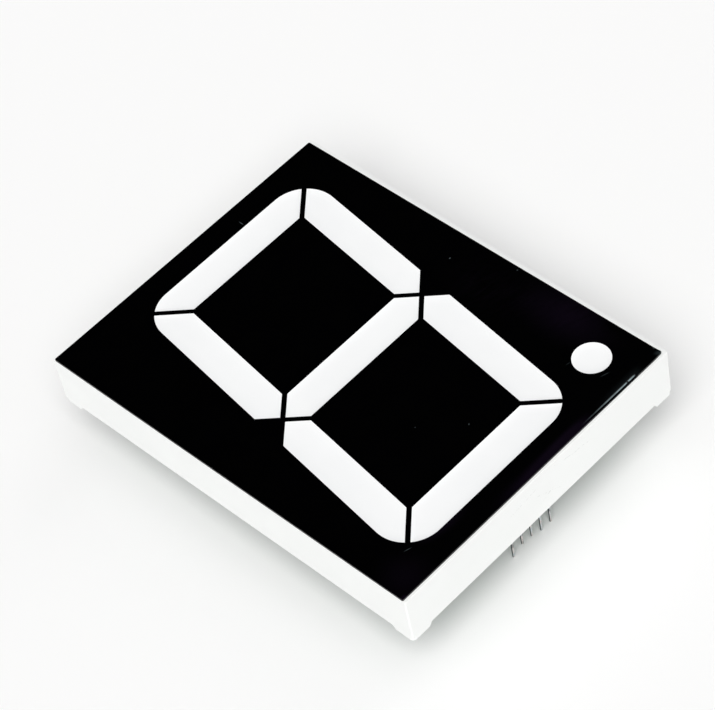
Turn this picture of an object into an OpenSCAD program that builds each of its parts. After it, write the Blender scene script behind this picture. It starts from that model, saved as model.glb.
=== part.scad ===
// Seven segment display: one slanted digit and a decimal point in a white moulded housing,
// with ten solder pins in two rows. Millimetres. The digit faces +Z and reads with +Y up.
// The origin is centred under the housing, level with the tips of the pins.

/* [Housing] */
// Width of the housing
housing_w = 70; // [70:0.5:76]
// Height of the housing, along the digit
housing_h = 91; // [91:0.5:97]
// Depth of the housing, from its front plate to its rear rim
housing_d = 10.7; // [10:0.1:14]
// Thickness of the side walls
wall_t = 1.5; // [1:0.1:1.8]
// Thickness of the front plate
plate_t = 1.3; // [1:0.1:2]
// Radius of the upright corners
corner_r = 0.3; // [0.2:0.1:1]
// Side of each corner foot where it leaves the rim
foot_w = 4.9; // [4:0.1:5.5]
// Height of the corner feet behind the rim
foot_h = 0.95; // [0.5:0.05:2]

/* [Face film] */
// Width of the black film
film_w = 69; // [66:0.5:69]
// Height of the black film
film_h = 89.9; // [87:0.1:90]
// Thickness of the film
film_t = 0.4; // [0.2:0.05:0.6]
// How far left of the housing's middle the film and the digit sit
film_shift = 0.45; // [0:0.05:0.5]

/* [Digit] */
// Height of the digit
digit_h = 79.3; // [77:0.1:80]
// Width of the digit along one level
digit_w = 44.6; // [42:0.1:46]
// Width of every stroke
stroke_w = 7.2; // [6.6:0.1:7.6]
// Lean of the digit to the right, in degrees
slant = 8; // [4:0.5:10]
// How far the digit's middle sits below the film's middle
digit_drop = 0.15; // [0:0.05:0.3]
// Width of the black gaps between strokes
gap_w = 1; // [0.95:0.05:1.4]
// Radius of the digit's four outer corners
round_r = 7.4; // [7:0.1:8]
// Diameter of the decimal point
dot_d = 7.45; // [6.5:0.05:8]
// Decimal point, right of the digit's middle
dot_x = 25.9; // [25.5:0.1:26.5]
// Decimal point, below the digit's middle
dot_drop = 35.5; // [34.5:0.1:36]

/* [Light wells] */
// Depth below the face at which the wells start to narrow
lip_d = 1.2; // [0.8:0.1:2]
// Width of each well where it meets the board
slot_w = 3; // [2.6:0.1:3.6]
// Length of each well where it meets the board
slot_l = 28.4; // [27:0.1:29]
// Thickness of the cup wall round each well
cup_t = 0.9; // [0.6:0.1:0.9]

/* [Board and chips] */
// Thickness of the circuit board
board_t = 1.6; // [1.2:0.1:1.6]
// How far the board's back is sunk inside the rim
board_recess = 1.2; // [0.8:0.1:1.6]
// Chips in each stroke
chips_per_stroke = 4; // [2:1:4]
// Distance between chips along a stroke
chip_pitch = 7; // [5:0.5:7]
// Side of one chip
chip_w = 0.35; // [0.25:0.05:0.4]

/* [Pins] */
// Diameter of the round pins
pin_d = 0.5; // [0.4:0.05:0.5]
// Distance between neighbouring pins, which is the standard one
pin_pitch = 2.54; // [2.54]
// Distance between the two rows of pins
row_spacing = 81.28; // [81.28]
// Length of pin that stands out behind the rim
pin_length = 12.4; // [6:0.2:14]
// How much shorter than the others pin 2 is
pin_2_short = 1.3; // [0:0.1:3]
// How much shorter than the others pin 3 is
pin_3_short = 1; // [0:0.1:3]

/* [Hidden] */
$fn = 48;

// Levels above the tips of the pins
rim_z = pin_length;
back_z = rim_z + board_recess;
front_z = back_z + board_t;
plate_z = rim_z + housing_d;
plate_under_z = plate_z - plate_t;
face_z = plate_z + film_t;
lip_z = face_z - lip_d;
// The cups' walls end halfway through the front plate
cup_top_z = plate_z - plate_t / 2;

// Lines that bound the strokes, as distances from the digit's middle
half_h = digit_h / 2;
half_w = digit_w / 2;
inner_y = half_h - stroke_w;
inner_x = half_w - stroke_w / cos(slant);
mid_x = (half_w + inner_x) / 2;
mid_y = half_h - stroke_w / 2;

// Directions: the upright strokes, and the gap that halves the corner beside them
upright = 90 - slant;
mitre = upright / 2;
along_mitre = [cos(mitre), sin(mitre)];
across_mitre = [-sin(mitre), cos(mitre)];
gap_trim = asin(gap_w / 2 / round_r);
arc_steps = 9;

// Board, chips and copper
board_gap = 0.15;
copper_t = 0.04;
copper_w = 1;
strip_w = 1.2;
strip_half = 12.9;
dot_strip_half = 2.1;
strip_gap = 0.2;
chip_h = 0.2;
wire_d = 0.05;
wire_span = 0.9;
via_r = 0.3;
via_pad_r = 0.75;
via_inset = 0.55;
dot_slot_d = 4.8;

// Pins, their holes and their solder
pins_per_row = 5;
pin_root_r = 0.42;
pin_hole_r = 0.52;
pin_head_r = 0.7;
pin_head_t = 0.3;
pin_tip = 0.2;
pin_root_z = rim_z - 0.1;
pin_pad_r = 0.95;
solder_r = 0.85;
solder_tip_r = 0.47;
solder_h = 1.05;

// Posts that stake the board to the housing
post_r = 0.8;
post_boss_r = 1.9;
post_head_r = 1.4;
post_head_h = 0.6;
post_clear = 0.05;
post_inset = 4;
post_x = housing_w / 2 - post_inset;
post_y = 26;
rib_t = 1;
rib_y = 18;
short_rib_x = 12;
short_rib_l = 6;

// Sides of the corner feet
foot_lean = 0.7;
foot_r = 0.9;

// Route of the copper along the back of the board
inner_lane = 38.5;
outer_lane = 42.4;
bus_y = -3;
tie_y = 33.5;
climb_x = -11;

// A point of the slanted digit: x is measured along its own level
function slanted(x, y) = [x + y * tan(slant), y];

// Middle of the round in the upper corner on one side
function round_middle(side) = let (y = half_h - round_r)
    [side * (half_w - round_r / cos(slant)) + y * tan(slant), y];

function arc(middle, r, from, to) = [
    for (i = [0 : arc_steps])
        let (a = from + (to - from) * i / arc_steps)
        middle + r * [cos(a), sin(a)]
];

// Where the line through p at angle a meets the line through q at angle b
function crossing(p, a, q, b) =
    let (d = [cos(a), sin(a)], e = [cos(b), sin(b)], w = q - p)
    p + d * (w[0] * e[1] - w[1] * e[0]) / (d[0] * e[1] - d[1] * e[0]);

// The same outline turned half a turn about the digit's middle
function turned(points) = [for (p = points) -p];

function unit(v) = v / norm(v);

function left_of(v) = [-v[1], v[0]];

// A convex outline, listed anticlockwise, with every edge moved in by d
function inset(points, d) =
    let (n = len(points))
    [
        for (i = [0 : n - 1])
            let (p = points[i], u = unit(p - points[(i + n - 1) % n]), v = unit(points[(i + 1) % n] - p))
            p + d * (left_of(u) + left_of(v)) / (1 + u * v)
    ];

function shifted(points, by) = [for (p = points) p + by];

function rounded_rectangle(w, h, r) = concat(
    arc([w / 2 - r, h / 2 - r], r, 0, 90),
    arc([-w / 2 + r, h / 2 - r], r, 90, 180),
    arc([-w / 2 + r, -h / 2 + r], r, 180, 270),
    arc([w / 2 - r, -h / 2 + r], r, 270, 360)
);

// Where the gaps cross at either end of the middle stroke
function junction(side) = [side * mid_x, 0];

// Upper stroke
outline_a = concat(
    [
        slanted(-inner_x, inner_y) + [gap_w / 2 / cos(mitre), 0],
        slanted(inner_x, inner_y) - [gap_w / 2 / sin(mitre), 0],
    ],
    arc(round_middle(1), round_r, mitre + gap_trim, 90),
    arc(round_middle(-1), round_r, 90, mitre + 90 - gap_trim)
);

// Point at the lower end of an upper upright stroke, and its two shoulders
function point_below(side) = junction(side) + gap_w / 2 * (along_mitre + across_mitre);
function shoulder_right(side, line_x) =
    crossing(junction(side) + gap_w / 2 * across_mitre, mitre, [line_x, 0], upright);
function shoulder_left(side, line_x) =
    crossing(junction(side) + gap_w / 2 * along_mitre, mitre + 90, [line_x, 0], upright);

// Upper right stroke
outline_b = concat(
    [point_below(1), shoulder_right(1, half_w)],
    arc(round_middle(1), round_r, -slant, mitre - gap_trim),
    [
        slanted(inner_x, inner_y) - gap_w / 2 / sin(mitre) * [cos(upright), sin(upright)],
        shoulder_left(1, inner_x),
    ]
);

// Upper left stroke
outline_f = concat(
    [
        point_below(-1),
        shoulder_right(-1, -inner_x),
        slanted(-inner_x, inner_y) - gap_w / 2 / cos(mitre) * [cos(upright), sin(upright)],
    ],
    arc(round_middle(-1), round_r, mitre + 90 + gap_trim, 180 - slant),
    [shoulder_left(-1, -half_w)]
);

// Right end of the middle stroke, which is the same when turned
middle_end = [
    crossing([0, -stroke_w / 2], 0, junction(1) + gap_w / 2 * across_mitre, mitre),
    junction(1) + gap_w / 2 * (across_mitre - along_mitre),
    crossing([0, stroke_w / 2], 0, junction(1) - gap_w / 2 * along_mitre, mitre + 90),
];

film_place = [-film_shift, 0];
digit_place = film_place - [0, digit_drop];
dot_place = digit_place + [dot_x, -dot_drop];

function outline(stroke) = shifted(
    stroke == "a" ? outline_a
    : stroke == "b" ? outline_b
    : stroke == "c" ? turned(outline_f)
    : stroke == "d" ? turned(outline_a)
    : stroke == "e" ? turned(outline_b)
    : stroke == "f" ? outline_f
    : concat(middle_end, turned(middle_end)),
    digit_place
);

STROKES = ["a", "b", "c", "d", "e", "f", "g"];

// A corner of the digit's centre lines: side is left or right, level is lower, middle or upper
function centre_node(side, level) = slanted(side * mid_x, level * mid_y) + digit_place;

// Ends of each stroke's row of chips, from the common side to the stroke's own side
function stroke_ends(stroke) =
    stroke == "a" ? [centre_node(-1, 1), centre_node(1, 1)]
    : stroke == "b" ? [centre_node(1, 0), centre_node(1, 1)]
    : stroke == "c" ? [centre_node(1, 0), centre_node(1, -1)]
    : stroke == "d" ? [centre_node(1, -1), centre_node(-1, -1)]
    : stroke == "e" ? [centre_node(-1, 0), centre_node(-1, -1)]
    : stroke == "f" ? [centre_node(-1, 0), centre_node(-1, 1)]
    : stroke == "g" ? [centre_node(1, 0), centre_node(-1, 0)]
    : [dot_place - [1, 0], dot_place + [1, 0]];

function stroke_middle(stroke) = (stroke_ends(stroke)[0] + stroke_ends(stroke)[1]) / 2;
function stroke_run(stroke) = unit(stroke_ends(stroke)[1] - stroke_ends(stroke)[0]);
function stroke_angle(stroke) = atan2(stroke_run(stroke)[1], stroke_run(stroke)[0]);
function strip_end(stroke) = stroke == "dot" ? dot_strip_half : strip_half;
function chip_count(stroke) = stroke == "dot" ? 1 : chips_per_stroke;

// Breaks in a stroke's copper strip, one beside each chip
function strip_breaks(stroke) = [
    for (i = [0 : chip_count(stroke) - 1]) (i - (chip_count(stroke) - 1) / 2) * chip_pitch
];

// Plated hole at the common end (-1) or at the stroke's own end (1) of its strip
function via(stroke, end) =
    stroke_middle(stroke) + end * (strip_end(stroke) - via_inset) * stroke_run(stroke);

// Pins 1 to 5 run left to right along the bottom, and 6 to 10 right to left along the top
function pin_place(number) = number <= pins_per_row
    ? [(number - (pins_per_row + 1) / 2) * pin_pitch, -row_spacing / 2]
    : [((3 * pins_per_row + 1) / 2 - number) * pin_pitch, row_spacing / 2];

// Level at which a pin ends: pins 2 and 3 stop short of the others
function pin_end(number) = number == 2 ? pin_2_short : number == 3 ? pin_3_short : 0;

// Section through a well, from bottom to top. Its sides lean out at one slope that passes
// through half_board beside the board and half_lip at the lip.
function well_section(half_board, half_lip, bottom, top) =
    let (slope = (half_lip - half_board) / (lip_z - front_z))
    let (low = half_board + slope * (bottom - front_z), high = half_board + slope * (top - front_z))
    [[-low, bottom], [low, bottom], [high, top], [-high, top]];

// A vertical section stood across a stroke (turn = 0) or along it (turn = 90)
module across_stroke(stroke, turn, section) {
    run = norm(stroke_ends(stroke)[1] - stroke_ends(stroke)[0]) + stroke_w;
    middle = stroke_middle(stroke);
    translate([middle[0], middle[1], 0])
        rotate([90, 0, stroke_angle(stroke) + 90 + turn])
            linear_extrude(2 * run, center = true)
                polygon(section);
}

// Light well of one stroke: straight down from the face to the lip, then narrowing to the board
// on its long sides and its ends. extra widens it all round. Its ends start to narrow at the lip
// end_reach past the crossings of the centre lines.
module well(stroke, extra, bottom, top) {
    half_run = norm(stroke_ends(stroke)[1] - stroke_ends(stroke)[0]) / 2;
    end_reach = 1;
    intersection() {
        translate([0, 0, bottom]) linear_extrude(top - bottom) polygon(inset(outline(stroke), -extra));
        across_stroke(
            stroke, 0,
            well_section(slot_w / 2 + extra, stroke_w / 2 + extra, bottom - 1, top + 1)
        );
        across_stroke(
            stroke, 90,
            well_section(slot_l / 2 + extra, half_run + end_reach + extra, bottom - 1, top + 1)
        );
    }
}

// The decimal point's well, which is round
module dot_well(extra, bottom, top) {
    section = well_section(dot_slot_d / 2 + extra, dot_d / 2 + extra, bottom, lip_z);
    translate(dot_place)
        rotate_extrude()
            polygon([[0, bottom], section[1], section[2], [dot_d / 2 + extra, top], [0, top]]);
}

// Front plate, side walls and a solid pillar in each corner
module shell() {
    translate([0, 0, rim_z])
        difference() {
            linear_extrude(housing_d) polygon(rounded_rectangle(housing_w, housing_h, corner_r));
            translate([0, 0, -1])
                linear_extrude(housing_d - plate_t + 1) {
                    square([housing_w - 2 * wall_t, housing_h - 2 * foot_w], center = true);
                    square([housing_w - 2 * foot_w, housing_h - 2 * wall_t], center = true);
                }
        }
}

// Foot on the end of each corner pillar: rounded at the housing's corner, its inner sides lean in
module corner_feet() {
    section = [[0, 0], [foot_w - foot_lean, 0], [foot_w, foot_h], [0, foot_h]];
    for (sx = [0, 1], sy = [0, 1])
        mirror([sx, 0, 0])
            mirror([0, sy, 0])
                translate([-housing_w / 2, -housing_h / 2, rim_z - foot_h])
                    intersection() {
                        linear_extrude(foot_h)
                            polygon(concat(
                                arc([foot_r, foot_r], foot_r, 180, 270),
                                [[foot_w, 0], [foot_w, foot_w], [0, foot_w]]
                            ));
                        translate([0, foot_w, 0]) rotate([90, 0, 0]) linear_extrude(foot_w) polygon(section);
                        rotate([90, 0, 90]) linear_extrude(foot_w) polygon(section);
                    }
}

// Bosses that the board is held against, and the posts melted over behind it
module board_posts() {
    for (x = [-post_x, post_x], y = [-post_y, post_y])
        translate([x, y, 0]) {
            translate([0, 0, front_z]) cylinder(h = plate_under_z - front_z, r = post_boss_r);
            translate([0, 0, back_z]) cylinder(h = board_t, r = post_r);
            translate([0, 0, back_z - post_head_h / 2]) cylinder(h = post_head_h / 2, r = post_head_r);
            translate([0, 0, back_z - post_head_h])
                cylinder(h = post_head_h / 2, r1 = post_head_r / 2, r2 = post_head_r);
        }
}

// Ribs from the middle of each side wall's thickness to the cups
module ribs() {
    rib_h = plate_under_z - front_z;
    long_rib_l = housing_w / 2 - wall_t / 2 - mid_x;
    for (turn = [0, 180])
        rotate([0, 0, turn])
            translate([0, 0, front_z]) {
                for (y = [-rib_y, rib_y])
                    translate([mid_x, y - rib_t / 2, 0]) cube([long_rib_l, rib_t, rib_h]);
                for (x = [-short_rib_x, short_rib_x])
                    translate([x - rib_t / 2, housing_h / 2 - wall_t / 2 - short_rib_l, 0])
                        cube([rib_t, short_rib_l, rib_h]);
            }
}

module reflector_housing() {
    color("whitesmoke")
        difference() {
            union() {
                shell();
                corner_feet();
                board_posts();
                ribs();
                for (stroke = STROKES) well(stroke, cup_t, front_z, cup_top_z);
                dot_well(cup_t, front_z, cup_top_z);
            }
            for (stroke = STROKES) well(stroke, 0, front_z - 1, face_z);
            dot_well(0, front_z - 1, face_z);
        }
}

module face_film() {
    film_corner_r = 0.3;
    color("black")
        translate([0, 0, plate_z])
            linear_extrude(film_t)
                difference() {
                    polygon(shifted(rounded_rectangle(film_w, film_h, film_corner_r), film_place));
                    for (stroke = STROKES) polygon(outline(stroke));
                    translate(dot_place) circle(d = dot_d);
                }
}

// Places its children on the board's front, along one stroke's centre line
module on_strip(stroke) {
    middle = stroke_middle(stroke);
    translate([middle[0], middle[1], front_z]) rotate([0, 0, stroke_angle(stroke)]) children();
}

// Copper strip of one stroke, broken beside each chip: pieces first to last of it.
// under takes them down past the board's front.
module strip_pieces(stroke, first, last, under = 0) {
    ends = concat(
        [-strip_end(stroke) - strip_gap / 2], strip_breaks(stroke), [strip_end(stroke) + strip_gap / 2]
    );
    on_strip(stroke)
        for (i = [first : 1 : last])
            translate([ends[i] + strip_gap / 2, -strip_w / 2, -under])
                cube([ends[i + 1] - ends[i] - strip_gap, strip_w, copper_t + under]);
}

// Light emitting chips of one stroke, each just before a break in its strip
module chips(stroke) {
    color("gold")
        on_strip(stroke)
            for (x = strip_breaks(stroke))
                translate([x - wire_span / 2 - chip_w / 2, -chip_w / 2, copper_t])
                    cube([chip_w, chip_w, chip_h]);
}

// Gold wires from the chips over the breaks, down to the next piece of strip
module wires(stroke) {
    on_strip(stroke)
        for (x = strip_breaks(stroke))
            translate([x, 0, copper_t + chip_h]) {
                rotate([90, 0, 0])
                    rotate_extrude(angle = 180)
                        translate([wire_span / 2, 0]) circle(d = wire_d, $fn = 16);
                translate([wire_span / 2, 0, -chip_h]) cylinder(h = chip_h, d = wire_d, $fn = 16);
            }
}

// What a stroke's resin is cast around
module buried(stroke) {
    strip_pieces(stroke, 0, chip_count(stroke), under = 1);
    chips(stroke);
    wires(stroke);
}

// White resin that fills a well from the board to the face
module segment(stroke) {
    color("white")
        difference() {
            well(stroke, 0, front_z, face_z);
            buried(stroke);
        }
}

module decimal_point() {
    color("white")
        difference() {
            dot_well(0, front_z, face_z);
            buried("dot");
        }
}

module circuit_board() {
    board_w = housing_w - 2 * wall_t - 2 * board_gap;
    board_h = housing_h - 2 * wall_t - 2 * board_gap;
    notch = foot_w - wall_t;
    color("darkgreen")
        translate([0, 0, back_z])
            difference() {
                translate([-board_w / 2, -board_h / 2, 0]) cube([board_w, board_h, board_t]);
                for (sx = [-1, 1], sy = [-1, 1])
                    translate([sx * board_w / 2 - notch, sy * board_h / 2 - notch, -1])
                        cube([2 * notch, 2 * notch, board_t + 2]);
                for (number = [1 : 2 * pins_per_row])
                    translate(concat(pin_place(number), -1)) cylinder(h = board_t + 2, r = pin_hole_r);
                for (x = [-post_x, post_x], y = [-post_y, post_y])
                    translate([x, y, -1]) cylinder(h = board_t + 2, r = post_r + post_clear);
                for (stroke = concat(STROKES, ["dot"]), end = [-1, 1])
                    translate(concat(via(stroke, end), -1)) cylinder(h = board_t + 2, r = via_r);
            }
}

// Straight runs of copper through a list of points
module track(points) {
    for (i = [0 : len(points) - 2]) {
        run = points[i + 1] - points[i];
        translate(points[i])
            rotate(atan2(run[1], run[0]))
                translate([-copper_w / 2, -copper_w / 2])
                    square([norm(run) + copper_w, copper_w]);
    }
}

// Copper that joins a stroke's own end to its pin: the track, the two pads and the plated hole
module stroke_net(stroke, number, route) {
    start = via(stroke, 1);
    finish = pin_place(number);
    translate([0, 0, back_z - copper_t])
        linear_extrude(copper_t)
            difference() {
                union() {
                    track(concat([start], route, [finish]));
                    translate(start) circle(r = via_pad_r);
                    pin_pad(number);
                }
                translate(finish) circle(r = pin_hole_r);
            }
    plated_hole(stroke, 1);
    strip_pieces(stroke, chip_count(stroke), chip_count(stroke));
}

// Pad round a pin: square for pin 1, which tells the pins apart, and round for the rest
module pin_pad(number) {
    translate(pin_place(number)) {
        if (number == 1) square(2 * pin_pad_r, center = true);
        else circle(r = pin_pad_r);
    }
}

module plated_hole(stroke, end) {
    translate(concat(via(stroke, end), back_z)) cylinder(h = board_t, r = via_r);
}

// Copper that joins every stroke's common end to pins 3 and 8
module common_net() {
    lower = pin_place(3);
    upper = pin_place(8);
    all = concat(STROKES, ["dot"]);
    translate([0, 0, back_z - copper_t])
        linear_extrude(copper_t)
            difference() {
                union() {
                    track([lower, upper]);
                    track([[via("e", -1)[0], bus_y], [via("dot", -1)[0], bus_y], via("dot", -1)]);
                    for (stroke = ["b", "c", "e", "f", "g"])
                        track([via(stroke, -1), [via(stroke, -1)[0], bus_y]]);
                    track([via("a", -1), [via("a", -1)[0], tie_y], [0, tie_y]]);
                    track([via("d", -1), [via("d", -1)[0], -tie_y], [0, -tie_y]]);
                    for (stroke = all) translate(via(stroke, -1)) circle(r = via_pad_r);
                    pin_pad(3);
                    pin_pad(8);
                }
                translate(lower) circle(r = pin_hole_r);
                translate(upper) circle(r = pin_hole_r);
            }
    for (stroke = all) {
        plated_hole(stroke, -1);
        strip_pieces(stroke, 0, 0);
    }
}

// A route that leaves a plated hole straight up or down to a lane, then runs along it to a pin
function lane(stroke, number, y) = [[via(stroke, 1)[0], y], [pin_place(number)[0], y]];

module board_copper() {
    top_turn = row_spacing / 2 - (pin_place(10)[0] - climb_x);
    color("peru") {
        common_net();
        stroke_net("e", 1, lane("e", 1, -outer_lane));
        stroke_net("d", 2, lane("d", 2, -inner_lane));
        stroke_net("c", 4, lane("c", 4, -inner_lane));
        stroke_net("dot", 5, lane("dot", 5, -outer_lane));
        stroke_net("b", 6, lane("b", 6, outer_lane));
        stroke_net("a", 7, lane("a", 7, inner_lane));
        stroke_net("f", 9, lane("f", 9, outer_lane));
        stroke_net("g", 10, [[climb_x, 0], [climb_x, top_turn]]);
    }
}

// Pieces of strip between one chip and the next, which join no track
module chip_pads() {
    color("peru")
        for (stroke = STROKES) strip_pieces(stroke, 1, chip_count(stroke) - 1);
}

module bond_wires() {
    color("gold")
        for (stroke = concat(STROKES, ["dot"])) wires(stroke);
}

// Round pin with a bevelled tip, a thicker root through the board and a flat head in front of it
module pin(number) {
    r = pin_d / 2;
    end = pin_end(number);
    color("silver")
        translate(pin_place(number))
            rotate_extrude()
                polygon([
                    [0, end], [r / 2, end], [r, end + pin_tip],
                    [r, pin_root_z], [pin_root_r, pin_root_z],
                    [pin_root_r, front_z], [pin_head_r, front_z], [pin_head_r, front_z + pin_head_t],
                    [0, front_z + pin_head_t],
                ]);
}

// Solder round each pin: a sleeve in the board's hole and a hollow cone on its pad
module solder_joints() {
    pad_z = back_z - copper_t;
    cone = [
        for (a = [0 : 15 : 90])
            [solder_tip_r + (solder_r - solder_tip_r) * (1 - sin(a)), pad_z - solder_h * (1 - cos(a))]
    ];
    color("lightgray")
        for (number = [1 : 2 * pins_per_row])
            translate(pin_place(number))
                rotate_extrude()
                    polygon(concat(
                        [[pin_root_r, front_z], [pin_hole_r, front_z], [pin_hole_r, pad_z]],
                        cone,
                        [[pin_root_r, pad_z - solder_h]]
                    ));
}

reflector_housing();
face_film();
segment("a");  // segment_a
segment("b");  // segment_b
segment("c");  // segment_c
segment("d");  // segment_d
segment("e");  // segment_e
segment("f");  // segment_f
segment("g");  // segment_g
decimal_point();
circuit_board();
board_copper();
chip_pads();
chips("a");  // chips_a
chips("b");  // chips_b
chips("c");  // chips_c
chips("d");  // chips_d
chips("e");  // chips_e
chips("f");  // chips_f
chips("g");  // chips_g
chips("dot");  // chip_dot
bond_wires();
solder_joints();
pin(1);  // pin_1
pin(2);  // pin_2
pin(3);  // pin_3
pin(4);  // pin_4
pin(5);  // pin_5
pin(6);  // pin_6
pin(7);  // pin_7
pin(8);  // pin_8
pin(9);  // pin_9
pin(10);  // pin_10
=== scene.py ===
import math

import bmesh
import bpy
from mathutils import Matrix, Vector
from mathutils.geometry import convex_hull_2d


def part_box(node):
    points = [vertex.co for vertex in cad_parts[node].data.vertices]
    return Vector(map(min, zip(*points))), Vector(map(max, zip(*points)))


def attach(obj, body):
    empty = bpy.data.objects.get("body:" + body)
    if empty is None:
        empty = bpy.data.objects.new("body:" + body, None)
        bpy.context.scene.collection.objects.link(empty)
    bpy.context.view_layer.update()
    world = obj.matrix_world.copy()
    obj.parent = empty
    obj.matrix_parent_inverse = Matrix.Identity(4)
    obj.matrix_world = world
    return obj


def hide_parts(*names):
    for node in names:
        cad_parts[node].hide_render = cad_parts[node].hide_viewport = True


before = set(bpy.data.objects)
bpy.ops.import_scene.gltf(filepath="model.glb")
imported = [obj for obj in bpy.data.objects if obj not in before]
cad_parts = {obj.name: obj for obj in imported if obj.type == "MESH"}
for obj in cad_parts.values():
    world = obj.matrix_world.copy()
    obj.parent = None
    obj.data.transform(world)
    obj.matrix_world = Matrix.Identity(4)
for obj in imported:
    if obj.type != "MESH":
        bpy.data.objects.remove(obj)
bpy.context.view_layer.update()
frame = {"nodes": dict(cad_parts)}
nodes = frame["nodes"]
mm = 0.001
# A distance too short to count
hair = 0.01 * mm

# ---- Camera ----
# It looks down on the face from beyond the digit's lower left corner, through a long lens, and
# is held a little askew.
view_azimuth = math.radians(-36.61)
view_elevation = math.radians(48.91)
view_roll = math.radians(-12.79)
view_distance = 551.5 * mm
aim = Vector((0.23, -0.62, 23.52)) * mm
view_turn = (
    Matrix.Rotation(view_azimuth, 4, "Z")
    @ Matrix.Rotation(math.pi / 2 - view_elevation, 4, "X")
    @ Matrix.Rotation(view_roll, 4, "Z")
)
lens = bpy.data.cameras.new("camera")
lens.lens = 151.33
lens.clip_start = 0.01
camera = bpy.data.objects.new("camera", lens)
camera.matrix_world = Matrix.Translation(aim) @ view_turn @ Matrix.Translation((0, 0, view_distance))
bpy.context.scene.collection.objects.link(camera)
bpy.context.scene.camera = camera

# ---- Housing ----
# One white moulding: front plate, side walls, a corner pillar and foot at each corner, and the
# cups that the light shines through. Its outer edges are softly rounded, as the mould leaves them.


class Socket:
    """An output of a node. Sums are written on it as on a number."""

    def __init__(self, nodes, output):
        self.nodes = nodes
        self.output = output

    def sum(self, operation, *values):
        return self.nodes.node("Math", {"operation": operation}, dict(enumerate(values)))

    def __add__(self, other):
        return self.sum("ADD", self, other)

    def __radd__(self, other):
        return self.sum("ADD", other, self)

    def __sub__(self, other):
        return self.sum("SUBTRACT", self, other)

    def __rsub__(self, other):
        return self.sum("SUBTRACT", other, self)

    def __mul__(self, other):
        return self.sum("MULTIPLY", self, other)

    def __abs__(self):
        return self.sum("ABSOLUTE", self)

    def rising(self, low, high):
        """0 below low, 1 above high and smooth between them. With high below low it falls."""
        settings = {"interpolation_type": "SMOOTHSTEP"}
        if low < high:
            return self.nodes.node("MapRange", settings, {0: self, 1: low, 2: high})
        return self.nodes.node("MapRange", settings, {0: self, 1: high, 2: low, 3: 1.0, 4: 0.0})


class Nodes:
    """The nodes of a finish or of the room."""

    def __init__(self, tree):
        self.tree = tree

    def put(self, socket, value):
        if isinstance(value, Socket):
            self.tree.links.new(value.output, socket)
        elif socket.type == "RGBA":
            socket.default_value = (*value, 1)
        else:
            socket.default_value = value

    def node(self, kind, settings, inputs, output=0):
        made = self.tree.nodes.new("ShaderNode" + kind)
        for key, value in settings.items():
            setattr(made, key, value)
        for key, value in inputs.items():
            self.put(made.inputs[key], value)
        return Socket(self, made.outputs[output])


class Finish(Nodes):
    """A material made round one Principled shader, whose constant values are given by name."""

    def __init__(self, name, **constants):
        self.material = bpy.data.materials.new(name)
        self.material.use_nodes = True
        super().__init__(self.material.node_tree)
        self.shader = self.tree.nodes["Principled BSDF"]
        for key, value in constants.items():
            self.set(key, value)
        self.place = self.node("TexCoord", {}, {}, "Object")

    def set(self, key, value):
        self.put(self.shader.inputs[key.replace("_", " ").title().replace("Ior", "IOR")], value)

    def axis(self, letter):
        """Distance along one axis of the part, in millimetres."""
        return self.node("SeparateXYZ", {}, {0: self.place}, letter) * 1000

    def noise(self, size, detail=2.0, stretch=(1, 1, 1), turn=0.0):
        """Noise with features of about size, in millimetres, drawn out along the axes by stretch."""
        scale = [1 / (size * mm * s) for s in stretch]
        turned = self.node("Mapping", {"vector_type": "TEXTURE"}, {0: self.place, 2: (0, 0, turn)})
        spread = self.node("VectorMath", {"operation": "MULTIPLY"}, {0: turned, 1: scale})
        return self.node("TexNoise", {}, {"Vector": spread, "Scale": 1.0, "Detail": detail}, 0)

    def oval(self, centre, half_length, half_width, turn=0.0):
        """A soft oval mark on the face: 1 at its centre and 0 at its edge. Sizes in millimetres."""
        place = (centre[0] * mm, centre[1] * mm, 0)
        moved = self.node(
            "Mapping", {"vector_type": "TEXTURE"}, {0: self.place, 1: place, 2: (0, 0, math.radians(turn))}
        )
        scale = (1000 / half_length, 1000 / half_width, 0)
        spread = self.node("VectorMath", {"operation": "MULTIPLY"}, {0: moved, 1: scale})
        reach = self.node("VectorMath", {"operation": "LENGTH"}, {0: spread}, "Value")
        return reach.rising(1.0, 0.0)

    def mix(self, factor, first, second):
        return self.node("Mix", {"data_type": "RGBA"}, {0: factor, 6: first, 7: second}, 2)

    def bump(self, height, depth):
        """Relief in which a height of 1 stands depth millimetres high."""
        self.set("normal", self.node("Bump", {}, {"Distance": depth * mm, "Height": height}))


# The CAD mesh's triangles are welded where they meet, and joined where they lie this flat
weld_reach = 0.0005 * mm
flat_angle = math.radians(0.2)
# Edges sharper than this stay crisp in the shading
smooth_angle = math.radians(40)


def edit(piece):
    """Opens one piece in edit mode, with nothing else selected."""
    bpy.ops.object.select_all(action="DESELECT")
    bpy.context.view_layer.objects.active = piece
    piece.select_set(True)
    bpy.ops.object.mode_set(mode="EDIT")
    bpy.ops.mesh.select_mode(type="VERT")
    bpy.ops.mesh.select_all(action="SELECT")


def copy_of(node, name):
    """A copy of a CAD node, open in edit mode, with its loose triangles made whole faces again."""
    piece = bpy.data.objects.new(name, nodes[node].data.copy())
    bpy.context.scene.collection.objects.link(piece)
    edit(piece)
    bpy.ops.mesh.customdata_custom_splitnormals_clear()
    bpy.ops.mesh.remove_doubles(threshold=weld_reach)
    bpy.ops.mesh.dissolve_limited(angle_limit=flat_angle, delimit=set())
    return piece


def pick(piece, kind, test):
    """Selects the edges or faces of the open piece that pass a test."""
    bpy.ops.mesh.select_all(action="DESELECT")
    bpy.ops.mesh.select_mode(type=kind)
    shape = bmesh.from_edit_mesh(piece.data)
    for part in shape.edges if kind == "EDGE" else shape.faces:
        part.select_set(test(part))
    bmesh.update_edit_mesh(piece.data)


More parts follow.
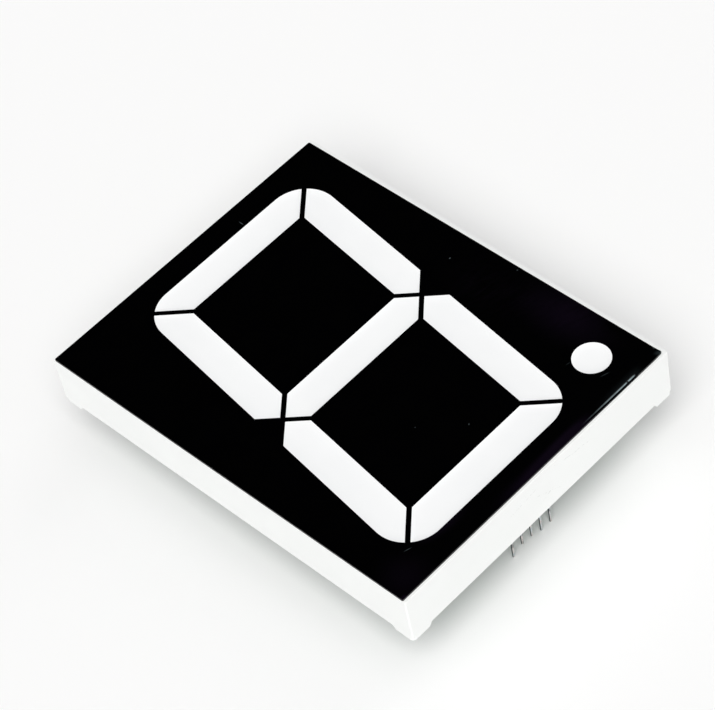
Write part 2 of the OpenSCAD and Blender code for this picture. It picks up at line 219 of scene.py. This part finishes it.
def at_level(part, level):
    return all(abs(corner.co.z - level) < hair for corner in part.verts)


def finish_piece(piece, finish, slot, *replaced):
    """Closes edit mode, evens the shading, gives the piece its finish, parents it to the root body and
    hides the CAD nodes it replaces.
    """
    bpy.ops.object.mode_set(mode="OBJECT")
    bpy.ops.object.shade_smooth_by_angle(angle=smooth_angle)
    modifier = piece.modifiers.new("even_shading", "WEIGHTED_NORMAL")
    modifier.keep_sharp = True
    bpy.ops.object.modifier_apply(modifier=modifier.name)
    piece.data.materials.clear()
    piece.data.materials.append(finish.material)
    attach(piece, "root")
    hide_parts(*replaced)


corner_low, corner_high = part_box("reflector_housing")
foot_height = 0.95 * mm
rim_level = corner_low.z + foot_height
outer_rounding = 0.07 * mm
rounding_steps = 3
mould_clearance = 0.002 * mm

# The mould's hollow: a block with rounded edges that trims the sharp edges of the moulding
bpy.ops.object.select_all(action="DESELECT")
bpy.ops.mesh.primitive_cube_add(size=1, location=(corner_low + corner_high) / 2)
mould = bpy.context.object
mould.scale = corner_high - corner_low + Vector((1, 1, 1)) * 2 * mould_clearance
bpy.ops.object.transform_apply(location=True, rotation=True, scale=True)
edit(mould)
bpy.ops.mesh.bevel(offset=outer_rounding, segments=rounding_steps, affect="EDGES")
bpy.ops.object.mode_set(mode="OBJECT")

housing = copy_of("reflector_housing", "housing")
bpy.ops.object.mode_set(mode="OBJECT")
trim = housing.modifiers.new("trim", "BOOLEAN")
trim.operation = "INTERSECT"
trim.solver = "EXACT"
trim.object = mould
bpy.ops.object.modifier_apply(modifier=trim.name)
bpy.data.objects.remove(mould)
edit(housing)

plastic = Finish("housing_plastic", specular_ior_level=0.4)
cloud = plastic.noise(14)
tone = plastic.mix(cloud.rising(0.35, 0.7), (0.886, 0.897, 0.886), (0.901, 0.913, 0.901))
# Handling marks on the wall below the digit: broken grey scratches that lean along it, and specks.
# Each scratch is given by its two ends along the wall, its height above the rim and its slope.
along_wall, up_wall = plastic.axis("X"), plastic.axis("Z") - rim_level / mm
on_wall = plastic.axis("Y").rising(corner_low.y / mm + 0.3, corner_low.y / mm + 0.05)
broken = plastic.noise(0.5).rising(0.48, 0.58)
marks = plastic.noise(0.28, 0.0).rising(0.8, 0.84) * 0.6
marks = marks * along_wall.rising(-20, -4) * along_wall.rising(16, 6)
for start, end, height, slope in [
    (5.5, 13.5, 8.9, -0.15),
    (-2, 5, 6.3, -0.5),
    (-9, -1, 7.3, 0.12),
    (-1, 3, 3.3, 0.4),
]:
    line = up_wall - (along_wall - start) * slope
    scratch = abs(line - height + plastic.noise(2) * 0.8).rising(0.16, 0.06)
    marks = marks + scratch * broken * along_wall.rising(start, start + 1) * along_wall.rising(end, end - 1)
marks = marks * on_wall * 0.34
plastic.set("base_color", plastic.mix(marks, tone, (0.55, 0.56, 0.55)))
plastic.set("roughness", 0.36 + plastic.noise(3) * 0.14)
plastic.bump(plastic.noise(0.12, 1.0), 0.004)
finish_piece(housing, plastic, "housing_plastic", "reflector_housing")

# ---- Face film ----
# Black film with eight windows, cut to the face and stuck on the front plate a little off its
# middle. Its lower edge has rolled down near the decimal point, and its corner there is lifting.
low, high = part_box("face_film")
face_level = high.z
film_right, film_bottom = high.x, low.y
roll_from, roll_full, roll_kink, roll_to = 10 * mm, 24 * mm, 25.1 * mm, 27.2 * mm
roll_border, roll_reach = 0.3 * mm, 0.9 * mm
roll_fade, kink_reach = 0.3 * mm, 0.2 * mm
roll_depth = 0.2 * mm
lift_reach, lift_height, lift_margin = 1.6 * mm, 0.2 * mm, 0.2 * mm


def ease(value, low, high):
    """0 below low, 1 above high and smooth between them."""
    share = min(max((value - low) / (high - low), 0), 1)
    return share * share * (3 - 2 * share)


def cut(piece, direction, first, last, count, test):
    """Cuts the faces that pass a test along evenly spaced planes."""
    for step in range(count):
        place = first + (last - first) * step / (count - 1)
        pick(piece, "FACE", test)
        bpy.ops.mesh.bisect(plane_co=direction * place, plane_no=direction)


def roll_drop(x, y):
    """How far the rolled edge lies below the face at a place."""
    along = ease(x, roll_from, roll_full) * ease(x, roll_to + roll_fade, roll_to)
    kink = min(abs(x - roll_kink) / kink_reach, 1)
    return roll_depth * along * kink * ease(y - film_bottom, roll_reach, roll_border)


def anywhere(face):
    return True


def in_edge_strip(face):
    return all(corner.co.y < film_bottom + roll_reach + hair for corner in face.verts)


film = copy_of("face_film", "film")
cut(film, Vector((0, 1, 0)), film_bottom + roll_border, film_bottom + roll_reach, 7, anywhere)
cut(film, Vector((1, 0, 0)), roll_from, roll_kink - roll_fade, 12, in_edge_strip)
cut(film, Vector((1, 0, 0)), roll_kink - kink_reach, roll_to + roll_fade, 8, in_edge_strip)
tip = Vector((film_right, film_bottom, 0))
diagonal = Vector((1, -1, 0)).normalized()
tip_place = tip.dot(diagonal)
cut(film, diagonal, tip_place - lift_reach, tip_place - lift_margin, 6, anywhere)
shape = bmesh.from_edit_mesh(film.data)
for corner in shape.verts:
    if corner.co.z > face_level - hair:
        corner.co.z -= roll_drop(corner.co.x, corner.co.y)
    near_tip = (corner.co.dot(diagonal) - tip_place) / lift_reach + 1
    if near_tip > 0:
        corner.co.z += lift_height * near_tip**2
bmesh.update_edit_mesh(film.data)

black = Finish("face_film", specular_ior_level=0.3)
x = black.axis("X")
edge = black.axis("Y") - film_bottom / mm
# Painted sheen: a faint violet reflection painted into the brushed film's colour right of the digit
# and round its two lower corners
brushed = black.noise(0.3, stretch=(14, 1, 1), turn=math.radians(-9))
sheen_gap = 1 - black.oval((34, -34.5), 3, 4.5) * 1.1
painted_sheen = black.oval((30.5, -25.5), 8, 14.5) * sheen_gap * (0.3 + brushed * 0.9)
painted_sheen = painted_sheen + black.oval((27, -9), 8, 14) * brushed.rising(0.4, 0.7) * 0.35
painted_sheen = painted_sheen + black.oval((-19, -39.5), 7, 2.2, -7) * 0.8 + black.oval((-31, -42), 7, 7) * 0.4
edge_sheen = x.rising(-14, 10) * edge.rising(2.6, 0.3)
painted_sheen = painted_sheen + edge_sheen * x.rising(17, 9) * 2.2 + black.oval((-34.4, -44.9), 1.0, 0.8) * 2
tone = black.mix(painted_sheen, (0.0002, 0.0002, 0.0003), (0.0036, 0.0020, 0.0052))
# Painted glint: the rolled edge's crest is painted pale, broken at the nick of its kink, with a faint
# painted sheen above it. A few specks and hair scratches show, and painted sheen marks the lifting corner
glint_and_marks = edge.rising(0.38, 0.5) * edge.rising(0.7, 0.54) * x.rising(12, 26.5) * x.rising(27.3, 26.6)
glint_and_marks = glint_and_marks * abs(x - roll_kink / mm).rising(0.1, 0.3) * (0.2 + black.noise(0.9) * 1.2)
glint_and_marks = glint_and_marks + edge.rising(2.2, 0.6) * x.rising(16, 24) * x.rising(30, 27) * 0.012
for centre, half_length, half_width, turn, strength in [
    ((10.7, 40.6), 0.9, 0.12, 89, 0.25),
    ((-26.5, -38.3), 1.1, 0.12, -17, 0.12),
    ((21.9, -33.1), 0.9, 0.12, -9, 0.05),
    ((23.9, -40.1), 1.4, 0.15, -19, 0.07),
    ((25.4, -39.3), 0.3, 0.2, 0, 0.35),
    ((28.0, 1.7), 0.3, 0.2, 0, 0.25),
    ((33.3, -10.6), 0.25, 0.2, 0, 0.15),
    ((0.6, -28.1), 0.3, 0.15, 40, 0.18),
    ((-5.8, -20.8), 0.2, 0.15, 0, 0.12),
    # The last two marks are painted sheen and glint at the lifting corner
    ((33.7, -44.8), 1.5, 0.9, -45, 0.05),
    ((33.95, -43.1), 0.4, 0.25, 30, 0.12),
]:
    glint_and_marks = glint_and_marks + black.oval(centre, half_length, half_width, turn) * strength
# Painted glint and sheen in a pale teal, which is also the colour of the specks and scratches
black.set("base_color", black.mix(glint_and_marks, tone, (0.27, 0.35, 0.37)))
black.set("roughness", 0.14 + black.noise(6) * 0.06)
black.bump(brushed, 0.0005)
finish_piece(film, black, "face_film", "face_film")

# ---- Strokes and decimal point ----
# White resin cast into each cup, which shrinks a little as it sets: it clings to the edge of the
# film's window and sinks towards its middle.
resin = Finish("segment_resin", roughness=0.28)
milk = resin.noise(9).rising(0.3, 0.7)
resin.set("base_color", resin.mix(milk, (0.927, 0.936, 0.942), (0.943, 0.951, 0.956)))
resin.bump(resin.noise(6, 1.0), 0.02)

front_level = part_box("circuit_board")[1].z
lip_depth = 1.2 * mm
window_drop = 0.03 * mm
bowl_depth = 0.22 * mm
bowl_steps = 7
bowl_reach = 0.97
bowl_crowding = 2
bowl_curl = 4


def outline(node, level):
    """The outline, anticlockwise, of a CAD node at one level."""
    corners = {
        (round(v.co.x, 7), round(v.co.y, 7))
        for v in nodes[node].data.vertices
        if abs(v.co.z - level) < hair
    }
    corners = [Vector(corner) for corner in sorted(corners)]
    return [corners[i] for i in convex_hull_2d(corners)]


def middle_line(corners):
    """The two ends of the line along an outline's middle, which lie half its width inside it."""
    sides = [second - first for first, second in zip(corners, corners[1:] + corners[:1])]
    along = max(sides, key=lambda side: side.length).normalized()
    across = Vector((-along.y, along.x))
    lengths = [corner.dot(along) for corner in corners]
    widths = [corner.dot(across) for corner in corners]
    middle = along * (min(lengths) + max(lengths)) / 2 + across * (min(widths) + max(widths)) / 2
    inside = (max(lengths) - min(lengths) - max(widths) + min(widths)) / 2
    reach = along * max(inside, hair)
    return middle - reach, middle + reach


def cast(node, name):
    """Resin cast in one cup: a sunken top, straight sides to the lip and a taper to the board."""
    lip_level = face_level - lip_depth
    top = outline(node, face_level)
    start, end = middle_line(top)
    aims = []
    for corner in top:
        share = (corner - start).dot(end - start) / (end - start).length_squared
        aims.append(start + (end - start) * min(max(share, 0), 1))
    corners, faces = [], []
    # The steps crowd towards the edge, where the resin curls up to the film
    for step in range(bowl_steps):
        inward = bowl_reach * (step / (bowl_steps - 1)) ** bowl_crowding
        level = face_level - window_drop - bowl_depth * (1 - (1 - inward) ** bowl_curl)
        corners += [(*(corner + (aim - corner) * inward), level) for corner, aim in zip(top, aims)]
    count = len(top)
    for step in range(bowl_steps - 1):
        for i in range(count):
            j = (i + 1) % count
            outer, inner = step * count, (step + 1) * count
            faces.append([outer + i, outer + j, inner + j, inner + i])
    faces.append([(bowl_steps - 1) * count + i for i in range(count)])
    foot = outline(node, front_level)
    faces.append([len(corners) + i for i in range(len(foot))][::-1])
    corners += [(*corner, front_level) for corner in foot]
    mesh = bpy.data.meshes.new(name)
    mesh.from_pydata(corners, [], faces)
    piece = bpy.data.objects.new(name, mesh)
    bpy.context.scene.collection.objects.link(piece)
    edit(piece)
    pick(piece, "EDGE", lambda edge: at_level(edge, face_level - window_drop))
    bpy.ops.mesh.extrude_edges_move(TRANSFORM_OT_translate={"value": (0, 0, lip_level - corners[0][2])})
    pick(piece, "EDGE", lambda edge: at_level(edge, lip_level) or at_level(edge, front_level))
    bpy.ops.mesh.bridge_edge_loops()
    bpy.ops.mesh.select_all(action="SELECT")
    bpy.ops.mesh.normals_make_consistent(inside=False)
    finish_piece(piece, resin, "segment_resin", node)


for letter in "abcdefg":
    cast("segment_" + letter, "stroke_" + letter)
cast("decimal_point", "point")

# ---- Circuit board ----
# Glass laminate under green solder mask, pressed in from behind against the cups.


def repaint(finish, *names):
    """Gives CAD nodes a finish."""
    for name in names:
        for slot in nodes[name].material_slots:
            slot.material = finish.material


laminate = Finish("board_laminate")
weave = laminate.noise(0.35, 1.0, stretch=(3, 1, 1)) + laminate.noise(0.35, 1.0, stretch=(1, 3, 1))
pour = laminate.noise(7).rising(0.2, 0.8)
mask_green = laminate.mix(pour, (0.009, 0.09, 0.038), (0.012, 0.108, 0.046))
glass_green = laminate.mix(pour, (0.36, 0.38, 0.16), (0.3, 0.33, 0.13))
# The mask covers the back only: the cut edges show bare yellowish laminate
back_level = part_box("circuit_board")[0].z
is_back = laminate.axis("Z").rising(back_level / mm + 0.05, back_level / mm + 0.02)
laminate.set("base_color", laminate.mix(is_back, glass_green, mask_green))
laminate.set("roughness", 0.26 + weave * 0.06)
laminate.bump(weave, 0.012)
repaint(laminate, "circuit_board")

# Copper tracks under the mask, and bare tinned pads round the two rows of pins
copper = Finish("copper")
pin_low, pin_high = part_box("pin_1")
row_place = -(pin_low.y + pin_high.y) / 2 / mm
pad_reach, pad_row_end = 0.95, 6.05
bare = abs(abs(copper.axis("Y")) - row_place).rising(pad_reach + 0.02, pad_reach - 0.02)
bare = bare * abs(copper.axis("X")).rising(pad_row_end + 0.05, pad_row_end - 0.05)
grain = copper.noise(0.8, 3.0)
covered = copper.mix(grain, (0.02, 0.16, 0.06), (0.03, 0.2, 0.08))
tinned = copper.mix(grain, (0.58, 0.57, 0.54), (0.74, 0.73, 0.7))
copper.set("base_color", copper.mix(bare, covered, tinned))
copper.set("metallic", bare)
copper.set("roughness", 0.28 + bare * grain * 0.3)
copper.bump(grain, 0.01)
repaint(copper, "board_copper", "chip_pads")

# ---- Chips and bond wires ----
# Light emitting chips stand on the board's front in each well, with a gold wire arched from each to
# the next pad. The resin buries them.
chip = Finish("chip", roughness=0.3)
chip.set("base_color", chip.mix(chip.noise(0.1), (0.45, 0.36, 0.12), (0.6, 0.48, 0.2)))
repaint(chip, "chip_dot", *["chips_" + letter for letter in "abcdefg"])
gold = Finish("gold_wire", roughness=0.25, metallic=1.0)
gold.set("base_color", gold.mix(gold.noise(0.05), (0.88, 0.62, 0.22), (0.94, 0.7, 0.3)))
repaint(gold, "bond_wires")

# ---- Pins and solder ----
# Ten round pins of tinned steel wire stand through the board and are soldered to their pads from
# behind. Shade is painted dark along one flank of each, and they are tarnished dark in patches.
solder = Finish("solder", metallic=1.0)
frost = solder.noise(0.25, 3.0)
solder.set("base_color", solder.mix(frost, (0.62, 0.61, 0.59), (0.8, 0.79, 0.77)))
solder.set("roughness", 0.18 + frost * 0.25)
solder.bump(frost, 0.02)
repaint(solder, "solder_joints")
tin = Finish("pin_metal", metallic=1.0)
drawn = tin.noise(0.1, stretch=(1, 1, 30))
# The flank turned away from this direction is painted dark, as shade
bright_flank = (0.95, -0.3, 0)
facing = tin.node("NewGeometry", {}, {}, "Normal")
bright = tin.node("VectorMath", {"operation": "DOT_PRODUCT"}, {0: facing, 1: bright_flank}, "Value")
dark_flank_and_tarnish = bright.rising(-0.45, -0.72) + tin.noise(1.3).rising(0.52, 0.64) * 0.6
tone = tin.mix(tin.noise(1.8).rising(0.4, 0.6), (0.76, 0.7, 0.68), (0.62, 0.67, 0.7))
tin.set("base_color", tin.mix(dark_flank_and_tarnish, tone, (0.048, 0.06, 0.07)))
tin.set("roughness", 0.12 + drawn * 0.12 + dark_flank_and_tarnish * 0.1)
tin.bump(drawn, 0.004)
repaint(tin, *["pin_" + str(number) for number in range(1, 11)])

# ---- Studio ----
# A plain white table and a white room. Soft light falls from above the digit's lower left, with
# a weak second lamp from its right.
bpy.ops.object.select_all(action="DESELECT")
table_width = 6
bpy.ops.mesh.primitive_plane_add(size=table_width, location=(0, 0, 0))
table = bpy.context.object
table.name = "table"
paper = Finish("table_white", roughness=0.9, specular_ior_level=0.0)
paper.set("base_color", (0.926, 0.926, 0.926))
table.data.materials.append(paper.material)

room = bpy.data.worlds.new("room")
bpy.context.scene.world = room
room.use_nodes = True
room_light = 0.445
background_white = 0.982
# The part of the room above and behind the digit's upper right is unlit, so the film stays black
dark_side = (0.39, 0.53, 0.75)
air = Nodes(room.node_tree)
direction = air.node("TexCoord", {}, {}, "Generated")
facing = air.node("VectorMath", {"operation": "DOT_PRODUCT"}, {0: direction, 1: dark_side}, "Value")
lit = facing.rising(0.93, 0.72)
# What is seen of the room, straight on, mirrored or through glass, is its white background
straight = air.node("LightPath", {}, {}, "Is Camera Ray")
mirrored = air.node("LightPath", {}, {}, "Is Glossy Ray")
through = air.node("LightPath", {}, {}, "Is Transmission Ray")
seen = straight.sum("MINIMUM", straight + mirrored + through, 1.0)
brightness = (room_light + seen * (background_white - room_light)) * lit.sum("MAXIMUM", lit, straight)
sky = air.tree.nodes["Background"]
air.put(sky.inputs["Strength"], brightness)
air.put(sky.inputs["Color"], (0.975, 1, 1.012))

# Direction that each lamp shines from, its strength on a surface that faces it, and its softness
for name, shines_from, strength, softness in [
    ("key", (-0.43, -0.4, 0.8), 0.79, 45),
    ("side", (0.74, 0, 0.67), 0.1, 40),
]:
    light = bpy.data.lights.new(name, "SUN")
    light.energy = strength * math.pi
    light.color = (1, 0.985, 0.975)
    light.angle = math.radians(softness)
    lamp = bpy.data.objects.new(name, light)
    lamp.rotation_euler = Vector(shines_from).to_track_quat("Z", "Y").to_euler()
    bpy.context.scene.collection.objects.link(lamp)

bpy.context.scene.view_settings.view_transform = "Standard"
